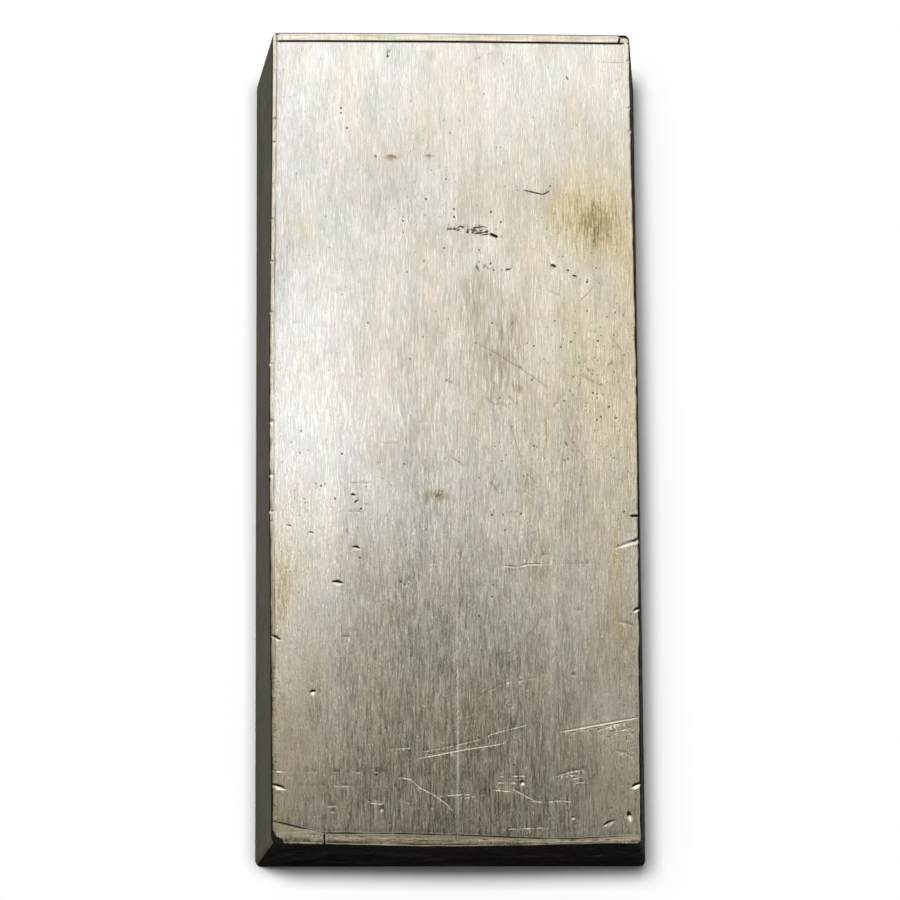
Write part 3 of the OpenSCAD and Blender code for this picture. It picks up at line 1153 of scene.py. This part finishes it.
def bar_mesh():
    """The whole bar as one closed mesh, with its finish as point attributes."""
    ring = shoulder_outline()
    count = len(ring)
    plan = face_plan(ring)
    top_triangles = triangles_of(plan, count)
    state = FaceState(plan)
    shape_face(state)
    top = np.column_stack((plan, state.height))

    rings = wall_rings(ring, state.height[:count])
    foot = rings[0][:, :2]
    lanes = [np.arange(-half, half + 1, BASE_STEP) for half in BASE_GRID]
    base_plan = np.concatenate((foot, grid_of(*lanes)))
    base_triangles = triangles_of(base_plan, count)[:, ::-1]

    walls = np.concatenate(rings)
    base_inner = np.column_stack((base_plan[count:], np.zeros(len(base_plan) - count)))
    points = np.concatenate((walls, top, base_inner))
    top_start = len(walls)
    inner_start = top_start + len(top)
    rows = [count * i for i in range(len(rings))] + [top_start]
    base_index = np.concatenate((np.arange(count), inner_start + np.arange(len(base_inner))))

    quads = wall_faces(count, rows)
    faces = quads.tolist() + (top_triangles + top_start).tolist() + base_index[base_triangles].tolist()
    mesh = bpy.data.meshes.new("silver_bar")
    mesh.from_pydata((points * MM).tolist(), [], faces)

    for name in FINISHES:
        whole = np.zeros(len(points))
        whole[top_start:inner_start] = getattr(state, name)
        mesh.attributes.new(name, "FLOAT", "POINT").data.foreach_set("value", whole)
    add_bake_map(mesh, points, len(quads), len(top_triangles), count)
    mesh.polygons.foreach_set("use_smooth", [True] * len(faces))
    mesh.polygons.foreach_set("material_index", material_slots(ring, len(rings), faces, len(top_triangles)))
    mesh.set_sharp_from_angle(angle=SHARP_ANGLE)
    mesh.validate()
    return mesh


# Places on the bake map: the top gets most of it, then the walls in two strips, then the base
MAP_TOP = (0.22, 0.5, 0.00645)
MAP_BASE = (0.585, 0.29, 0.0037)
MAP_STRIPS = (0.73, 0.865)
MAP_STRIP_SCALE = 0.0044
MAP_MARGIN = 0.01


def add_bake_map(mesh, points, wall_count, top_count, ring_count):
    """One UV map: the top and the base seen from above, the walls unrolled."""
    layer = mesh.uv_layers.new(name="OFBake")
    loops = np.zeros(len(mesh.loops), dtype=int)
    mesh.loops.foreach_get("vertex_index", loops)
    wall_loops = wall_count * 4
    top_loops = wall_loops + top_count * 3
    xy = points[loops][:, :2]
    uv = np.zeros((len(loops), 2))
    for start, end, (u, v, scale) in ((wall_loops, top_loops, MAP_TOP), (top_loops, len(loops), MAP_BASE)):
        uv[start:end] = np.array((u, v)) + xy[start:end] * scale
    column = np.tile(np.arange(ring_count), wall_count // ring_count)
    half = ring_count // 2
    strip = (column >= half).astype(int)
    first = column - strip * half
    across = points[loops[:wall_loops]][:, 2].reshape(-1, 4)
    along = np.stack((first, first + 1, first + 1, first), axis=1) * EDGE_STEP
    uv[:wall_loops, 0] = (np.array(MAP_STRIPS)[strip][:, None] + across * MAP_STRIP_SCALE).ravel()
    uv[:wall_loops, 1] = (MAP_MARGIN + along * MAP_STRIP_SCALE).ravel()
    layer.data.foreach_set("uv", uv.ravel())


# Colours of the finish
SILVER_ROSE = (0.955, 0.905, 0.885, 1)
SILVER_GREEN = (0.92, 0.925, 0.885, 1)
VEIL_AND_SHADE_TINT = (0.56, 0.56, 0.54, 1)
WARM_TINT = (1.0, 0.925, 0.75, 1)
PALE_GOLD = (0.66, 0.53, 0.26, 1)
GOLD_TINT = (0.3, 0.225, 0.105, 1)
SMEAR_TINT = (0.47, 0.39, 0.25, 1)
# The dirt colour also serves as painted shade, and the bare metal colour as a painted highlight, in cuts,
# gouges, nicks, creases and rims
DIRT_AND_SHADE_TINT = (0.014, 0.012, 0.009, 1)
BARE_AND_HIGHLIGHT_TINT = (0.98, 0.945, 0.86, 1)

# The dark cast skins of the walls, as a lit and a shaded copy: the left wall's is lighter and shines more
# at a flat angle, which is painted light, and the others' are darker and shine less, which is painted
# shade.
LIT_WALL_SKIN = Skin("lit_wall_skin", (0.118, 0.11, 0.095, 1), (0.19, 0.18, 0.16, 1), (0.29, 0.28, 0.26, 1))
SHADED_WALL_SKIN = Skin("shaded_wall_skin", (0.03, 0.028, 0.024, 1), (0.085, 0.08, 0.07, 1), (0.035, 0.035, 0.03, 1))

# The silver is warmer in tone towards the right and the front, and less so on the right at the back:
# where each change starts and ends, in mm
WARM_RIGHT = (-30, 26)
WARM_FRONT = (0, -60)
COOL_BACK = (30, 66)

# The brushing shows more and more from the back to the front: between which two Y in mm, and how much
BRUSHING_ENDS = (40, -65)
BRUSHING_DEPTH = (0.2, 1.55)

# Specks on the silver: the size in mm of the cells that hold one each, their radii in cells,
# and how sharp their edges are
SPECK_CELL = 0.75
SPECK_RADIUS = (0.05, 0.19)
SPECK_EDGE = 14.0

# The part of a noise's range that is spread out, wide for a soft look and narrow for a harder one
SOFT_BAND = (0.3, 0.7)
HARD_BAND = (0.35, 0.65)

# The height, in metres, of the fine bumps in the skins and in the brushing
SKIN_BUMP = 0.00004
BRUSHING_BUMP = 0.00003


class Graph:
    """Small helper that adds nodes to a tree and links them."""

    def __init__(self, tree):
        self.tree = tree

    def fill(self, sockets, values):
        """Links each socket to what comes from another node, or sets it to a plain value."""
        for name, value in values.items():
            if isinstance(value, bpy.types.NodeSocket):
                self.tree.links.new(value, sockets[name])
            else:
                sockets[name].default_value = value

    def node(self, kind, inputs=None, **settings):
        made = self.tree.nodes.new(kind)
        for name, value in settings.items():
            setattr(made, name, value)
        self.fill(made.inputs, inputs or {})
        return made

    def attribute(self, name):
        return self.node("ShaderNodeAttribute", attribute_name=name).outputs["Fac"]

    def math(self, operation, a, b, clamp=False):
        return self.node("ShaderNodeMath", {0: a, 1: b}, operation=operation, use_clamp=clamp).outputs[0]

    def plus(self, a, b, clamp=False):
        return self.math("ADD", a, b, clamp)

    def times(self, a, b, clamp=False):
        return self.math("MULTIPLY", a, b, clamp)

    def larger(self, a, b):
        return self.math("MAXIMUM", a, b)

    def span(self, value, low, high, to_low, to_high):
        """A value carried from one range to another, and held at its ends."""
        inputs = {"Value": value, "From Min": low, "From Max": high, "To Min": to_low, "To Max": to_high}
        return self.node("ShaderNodeMapRange", inputs).outputs["Result"]

    def swing(self, noise_value, low, high, band=SOFT_BAND):
        """Noise as a value that swings between two ends."""
        return self.span(noise_value, band[0], band[1], low, high)

    def mix_colour(self, share, a, b, blend="MIX"):
        made = self.node("ShaderNodeMix", data_type="RGBA", blend_type=blend)
        self.fill(made.inputs, {0: share, 6: a, 7: b})
        return made.outputs[2]

    def tinted(self, colour, share, tint):
        """A colour times a tint, by a share from 0 to 1."""
        return self.mix_colour(1.0, colour, self.mix_colour(share, (1, 1, 1, 1), tint), "MULTIPLY")

    def shaded(self, colour, value):
        """A colour times a plain value."""
        grey = self.node("ShaderNodeCombineColor", {"Red": value, "Green": value, "Blue": value})
        return self.mix_colour(1.0, colour, grey.outputs["Color"], "MULTIPLY")

    def mix_value(self, share, a, b):
        made = self.node("ShaderNodeMix", {0: share, 2: a, 3: b}, data_type="FLOAT")
        return made.outputs[0]

    def grain(self, position, size, detail, offset):
        """Noise whose lumps have the given size in mm along each axis."""
        scale = tuple(1 / s for s in size)
        inputs = {"Vector": position, "Scale": scale, "Location": (offset, offset, offset)}
        place = self.node("ShaderNodeMapping", inputs).outputs["Vector"]
        made = self.node("ShaderNodeTexNoise", {"Vector": place, "Scale": 1.0, "Detail": detail})
        return made.outputs["Fac"]

    def speckle(self, position, density):
        """Small round specks, one to a cell, in the share of the cells that density is."""
        scale = (1 / SPECK_CELL, 1 / SPECK_CELL, 0)
        place = self.node("ShaderNodeMapping", {"Vector": position, "Scale": scale}).outputs["Vector"]
        inputs = {"Vector": place, "Scale": 1.0}
        cells = self.node("ShaderNodeTexVoronoi", inputs, voronoi_dimensions="2D").outputs
        chance = self.node("ShaderNodeSeparateColor", {0: cells["Color"]}).outputs
        radius = self.span(chance["Red"], 0, 1, SPECK_RADIUS[0], SPECK_RADIUS[1])
        inside = self.math("SUBTRACT", radius, cells["Distance"])
        inside = self.times(inside, SPECK_EDGE, True)
        return self.times(inside, self.math("LESS_THAN", chance["Green"], density))

    def seen(self):
        """1 where the camera, a mirror or glass sees it, and 0 where it only lights other things."""
        path = self.node("ShaderNodeLightPath").outputs
        direct = self.larger(path["Is Camera Ray"], path["Is Glossy Ray"])
        return self.larger(direct, path["Is Transmission Ray"])


def new_material(name):
    """An empty material: the material, its graph, its shader and the position on its object in mm."""
    material = bpy.data.materials.new(name)
    material.use_nodes = True
    graph = Graph(material.node_tree)
    shader = material.node_tree.nodes["Principled BSDF"]
    in_metres = graph.node("ShaderNodeTexCoord").outputs["Object"]
    scale = (1 / MM, 1 / MM, 1 / MM)
    position = graph.node("ShaderNodeVectorMath", {0: in_metres, 1: scale}, operation="MULTIPLY")
    return material, graph, shader, position.outputs["Vector"]


def skin_material(skin):
    """A wall: a dark, dull cast skin with lighter worn patches."""
    material, graph, shader, position = new_material(skin.name)
    cast = graph.grain(position, (2.5, 2.5, 2.5), detail=4.0, offset=47.0)
    sand = graph.grain(position, (0.5, 0.5, 0.5), detail=2.0, offset=53.0)
    worn = graph.grain(position, (9, 9, 5), detail=5.0, offset=59.0)
    pull = graph.grain(position, (7, 7, 0.5), detail=3.0, offset=67.0)

    patches = graph.span(worn, 0.5, 0.72, 0, 0.8)
    patches = graph.times(patches, graph.swing(pull, 0.3, 1.0, HARD_BAND))
    colour = graph.mix_colour(patches, skin.tint, skin.worn)
    shade = graph.plus(graph.swing(cast, 0.8, 1.2), graph.swing(sand, -0.15, 0.15))
    colour = graph.shaded(colour, shade)
    rough = graph.plus(graph.swing(cast, 0.34, 0.5), graph.swing(sand, -0.05, 0.05))
    relief = graph.plus(graph.times(cast, 5.0), sand)
    bump = graph.node("ShaderNodeBump", {"Strength": 1.0, "Distance": SKIN_BUMP, "Height": relief})

    graph.fill(shader.inputs, {
        "Base Color": colour,
        "Roughness": rough,
        "Normal": bump.outputs["Normal"],
        "Metallic": 1.0,
        "Specular Tint": skin.flat_shine,
    })
    return material


def silver_material():
    """Brushed, tarnished silver on the top."""
    material, graph, shader, position = new_material("worn_silver")
    hairs = graph.grain(position, (0.12, 2.6, 5), detail=2.0, offset=0.0)
    lines = graph.grain(position, (0.24, 2.8, 5), detail=2.0, offset=71.0)
    grit = graph.grain(position, (0.16, 0.5, 5), detail=2.0, offset=5.0)
    streaks = graph.grain(position, (0.45, 16, 5), detail=3.0, offset=11.0)
    bands = graph.grain(position, (2.2, 60, 5), detail=2.0, offset=17.0)
    mottle = graph.grain(position, (7, 15, 5), detail=4.0, offset=23.0)
    clouds = graph.grain(position, (5, 13, 5), detail=4.0, offset=27.0)
    hue = graph.grain(position, (3.2, 7, 5), detail=3.0, offset=31.0)
    crust = graph.grain(position, (0.4, 0.6, 5), detail=2.0, offset=83.0)
    scuffs = graph.grain(position, (6, 0.2, 5), detail=3.0, offset=41.0)

    # Dirt with painted shade, and bare metal with painted highlights, as the mesh carries them
    dirt_and_shade = graph.span(graph.attribute("dirt_and_shade"), 0.1, 0.65, 0, 1)
    dirt_and_shade = graph.larger(dirt_and_shade, graph.speckle(position, graph.attribute("specks")))
    bare_and_highlight = graph.attribute("bare_and_highlight")
    end = graph.attribute("end")

    place = graph.node("ShaderNodeSeparateXYZ", {0: position})
    depth = graph.span(place.outputs["Y"], *BRUSHING_ENDS, *BRUSHING_DEPTH)

    silver = graph.mix_colour(graph.swing(hue, 0, 1, HARD_BAND), SILVER_ROSE, SILVER_GREEN)
    # The grey veil is tarnish that also paints the face's shade towards the front and its light at the
    # upper left
    veil = graph.plus(graph.attribute("veil"), graph.swing(clouds, -0.14, 0.14, HARD_BAND), True)
    scratchy = graph.plus(graph.swing(lines, -0.9, 0.9), graph.swing(grit, -0.5, 0.5))
    scratchy = graph.times(scratchy, graph.span(veil, 0.3, 0.85, 0.06, 0.36))
    scratchy = graph.times(scratchy, depth)
    shade = graph.plus(scratchy, graph.swing(streaks, 0.93, 1.03))
    shade = graph.plus(shade, graph.swing(bands, -0.05, 0.05))
    shade = graph.mix_value(end, shade, graph.swing(scuffs, 0.6, 1.25))
    silver = graph.shaded(silver, shade)
    silver = graph.tinted(silver, veil, VEIL_AND_SHADE_TINT)

    right = graph.span(place.outputs["X"], *WARM_RIGHT, 0, 0.85)
    right = graph.times(right, graph.span(place.outputs["Y"], *COOL_BACK, 1, 0.5))
    front = graph.span(place.outputs["Y"], *WARM_FRONT, 0, 1)
    warm = graph.larger(right, front)
    warm = graph.plus(warm, graph.swing(mottle, -0.2, 0.2), True)
    silver = graph.tinted(silver, warm, WARM_TINT)

    tarnish = graph.plus(graph.attribute("gold"), graph.span(mottle, 0.5, 0.75, 0, 0.1))
    grooves = graph.swing(lines, 1.7, 0.3, HARD_BAND)
    grooves = graph.times(grooves, graph.swing(streaks, 0.6, 1.4))
    tarnish = graph.times(tarnish, grooves)
    tarnish = graph.times(tarnish, graph.swing(crust, 0.5, 1.5))
    silver = graph.mix_colour(graph.span(tarnish, 0, 0.5, 0, 0.6), silver, PALE_GOLD)
    silver = graph.mix_colour(graph.span(tarnish, 0.35, 1.7, 0, 1), silver, GOLD_TINT)
    smear = graph.times(graph.attribute("smear"), grooves, True)
    smear = graph.span(smear, 0.08, 1.0, 0, 0.96)
    silver = graph.mix_colour(smear, silver, SMEAR_TINT)
    silver = graph.mix_colour(bare_and_highlight, silver, BARE_AND_HIGHLIGHT_TINT)
    silver = graph.mix_colour(dirt_and_shade, silver, DIRT_AND_SHADE_TINT)

    metal = graph.span(dirt_and_shade, 0, 0.9, 1, 0)
    rough = graph.plus(graph.swing(streaks, 0.0, 0.04), graph.swing(hairs, 0.2, 0.36))
    rough = graph.mix_value(smear, rough, 0.4)
    rough = graph.mix_value(dirt_and_shade, rough, 0.8)

    brushed = graph.mix_value(end, graph.plus(grit, hairs), graph.times(scuffs, 0.35))
    bump = graph.node("ShaderNodeBump", {"Strength": 1.0, "Distance": BRUSHING_BUMP, "Height": brushed})
    tangent = graph.node("ShaderNodeTangent", direction_type="UV_MAP", uv_map="OFBake")

    graph.fill(shader.inputs, {
        "Base Color": silver,
        "Metallic": metal,
        "Roughness": rough,
        "Normal": bump.outputs["Normal"],
        "Tangent": tangent.outputs["Tangent"],
        "Anisotropic": 0.5,
        "Specular IOR Level": 0.0,
    })
    return material


def add_object(name, data):
    made = bpy.data.objects.new(name, data)
    bpy.context.scene.collection.objects.link(made)
    return made


def add_bar():
    bar = add_object("silver_bar", bar_mesh())
    # Silver for the top, the skin in painted shade for the base and most walls, and the skin in painted
    # light for the left wall
    for material in (silver_material(), skin_material(SHADED_WALL_SKIN), skin_material(LIT_WALL_SKIN)):
        bar.data.materials.append(material)
    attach(bar, "root")
    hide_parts("ingot")


FLOOR_SIZE = 6.0
FLOOR_COLOUR = (0.96, 0.96, 0.96, 1)

# Past the bar's shadow the floor shows as plain white: where that starts and ends, in mm from the base
FLOOR_WHITE = (1, 9)

# Close to the bar the paper's colour is darkened as painted shade, where it gets less light from all round:
# how far out, in metres, and how much
CONTACT_REACH = 0.0028
CONTACT_DEPTH = 0.8

# Half the width and length of the bar's base, in mm
BASE_HALF = (36.4, 76)


def floor_material():
    """White paper that takes the bar's shadow, with painted shade in its colour close to the bar. Further
    out, the camera and metal see it as plain white.
    """
    material, graph, shader, position = new_material("white_floor")
    sky = graph.node("ShaderNodeAmbientOcclusion", {"Distance": CONTACT_REACH}, samples=8).outputs["AO"]
    paper_with_painted_shade = graph.shaded(FLOOR_COLOUR, graph.span(sky, 0, 1, 1 - CONTACT_DEPTH, 1))
    graph.fill(shader.inputs, {"Base Color": paper_with_painted_shade, "Roughness": 0.9, "Specular IOR Level": 0.0})

    place = graph.node("ShaderNodeSeparateXYZ", {0: position}).outputs
    squares = []
    for axis, half in zip("XY", BASE_HALF):
        reach = graph.math("ABSOLUTE", place[axis], 0.0)
        gap = graph.larger(graph.math("SUBTRACT", reach, half), 0.0)
        squares.append(graph.times(gap, gap))
    distance = graph.math("POWER", graph.plus(squares[0], squares[1]), 0.5)
    far = graph.span(distance, *FLOOR_WHITE, 0, 1)

    white = graph.node("ShaderNodeEmission", {"Color": (1, 1, 1, 1), "Strength": 1.0}).outputs[0]
    shares = {0: graph.times(far, graph.seen()), 1: shader.outputs[0], 2: white}
    mixed = graph.node("ShaderNodeMixShader", shares).outputs[0]
    graph.fill(material.node_tree.nodes["Material Output"].inputs, {"Surface": mixed})
    return material


def add_floor():
    bpy.ops.mesh.primitive_plane_add(size=FLOOR_SIZE)
    floor = bpy.context.object
    floor.name = "studio_floor"
    floor.data.materials.append(floor_material())


# The dome's colours, and the heights over which they fade, from 0 at the horizon to 1 overhead
WORLD_ZENITH = (0.085, 0.082, 0.077, 1)
WORLD_SIDES = (0.56, 0.55, 0.53, 1)
WORLD_HORIZON = (1, 1, 1, 1)
SIDES_FADE = (0.05, 0.85)
HORIZON_FADE = (0.03, 0.12)


def add_world():
    """A dim dome, paler towards its sides, which show to the camera and to metal as white."""
    world = bpy.data.worlds.new("studio")
    bpy.context.scene.world = world
    world.use_nodes = True
    graph = Graph(world.node_tree)
    background = world.node_tree.nodes["Background"]
    direction = graph.node("ShaderNodeTexCoord").outputs["Generated"]
    height = graph.node("ShaderNodeSeparateXYZ", {0: direction}).outputs["Z"]
    sides = graph.mix_colour(graph.seen(), WORLD_SIDES, WORLD_HORIZON)
    dome = graph.mix_colour(graph.span(height, *SIDES_FADE, 0, 1), sides, WORLD_ZENITH)
    dome = graph.mix_colour(graph.span(height, *HORIZON_FADE, 0, 1), WORLD_HORIZON, dome)
    graph.fill(background.inputs, {"Color": dome})


class Lamp(NamedTuple):
    """A rectangular area lamp: its place and size in metres, and its watts."""

    name: str
    place: tuple
    size: tuple
    watts: float


# A softbox behind the bar and a card on each side, which the metal mirrors, and a key for the dull parts
SOFTBOX = Lamp("softbox", (-0.05, 0.453, 0.794), (0.52, 0.664), 1.8)
LEFT_CARD = Lamp("left_card", (-0.6, 0.0, 0.35), (0.7, 0.4), 0.6)
RIGHT_CARD = Lamp("right_card", (0.6, 0.1, 0.35), (0.7, 0.4), 0.15)
KEY = Lamp("key", (-0.105, 0.0, 0.95), (0.13, 0.17), 7.5)


def add_lamp(lamp):
    """Puts up a lamp that faces the bar."""
    light = bpy.data.lights.new(lamp.name, "AREA")
    light.shape = "RECTANGLE"
    light.size, light.size_y = lamp.size
    light.energy = lamp.watts
    made = add_object(lamp.name, light)
    made.location = lamp.place
    towards_bar = Vector((0, 0, 0)) - Vector(lamp.place)
    made.rotation_euler = towards_bar.to_track_quat("-Z", "Y").to_euler()
    return made


def add_lamps():
    add_lamp(SOFTBOX).visible_diffuse = False
    add_lamp(LEFT_CARD)
    add_lamp(RIGHT_CARD)
    add_lamp(KEY).visible_glossy = False


def add_camera():
    data = bpy.data.cameras.new("photo_camera")
    data.sensor_width = CAMERA_SENSOR
    data.lens = CAMERA_LENS
    camera = add_object("photo_camera", data)
    camera.location = Vector(CAMERA_PLACE) * MM
    camera.rotation_euler = CAMERA_ANGLES
    bpy.context.scene.camera = camera


bpy.context.scene.view_settings.view_transform = "Standard"
add_bar()
add_floor()
add_world()
add_lamps()
add_camera()
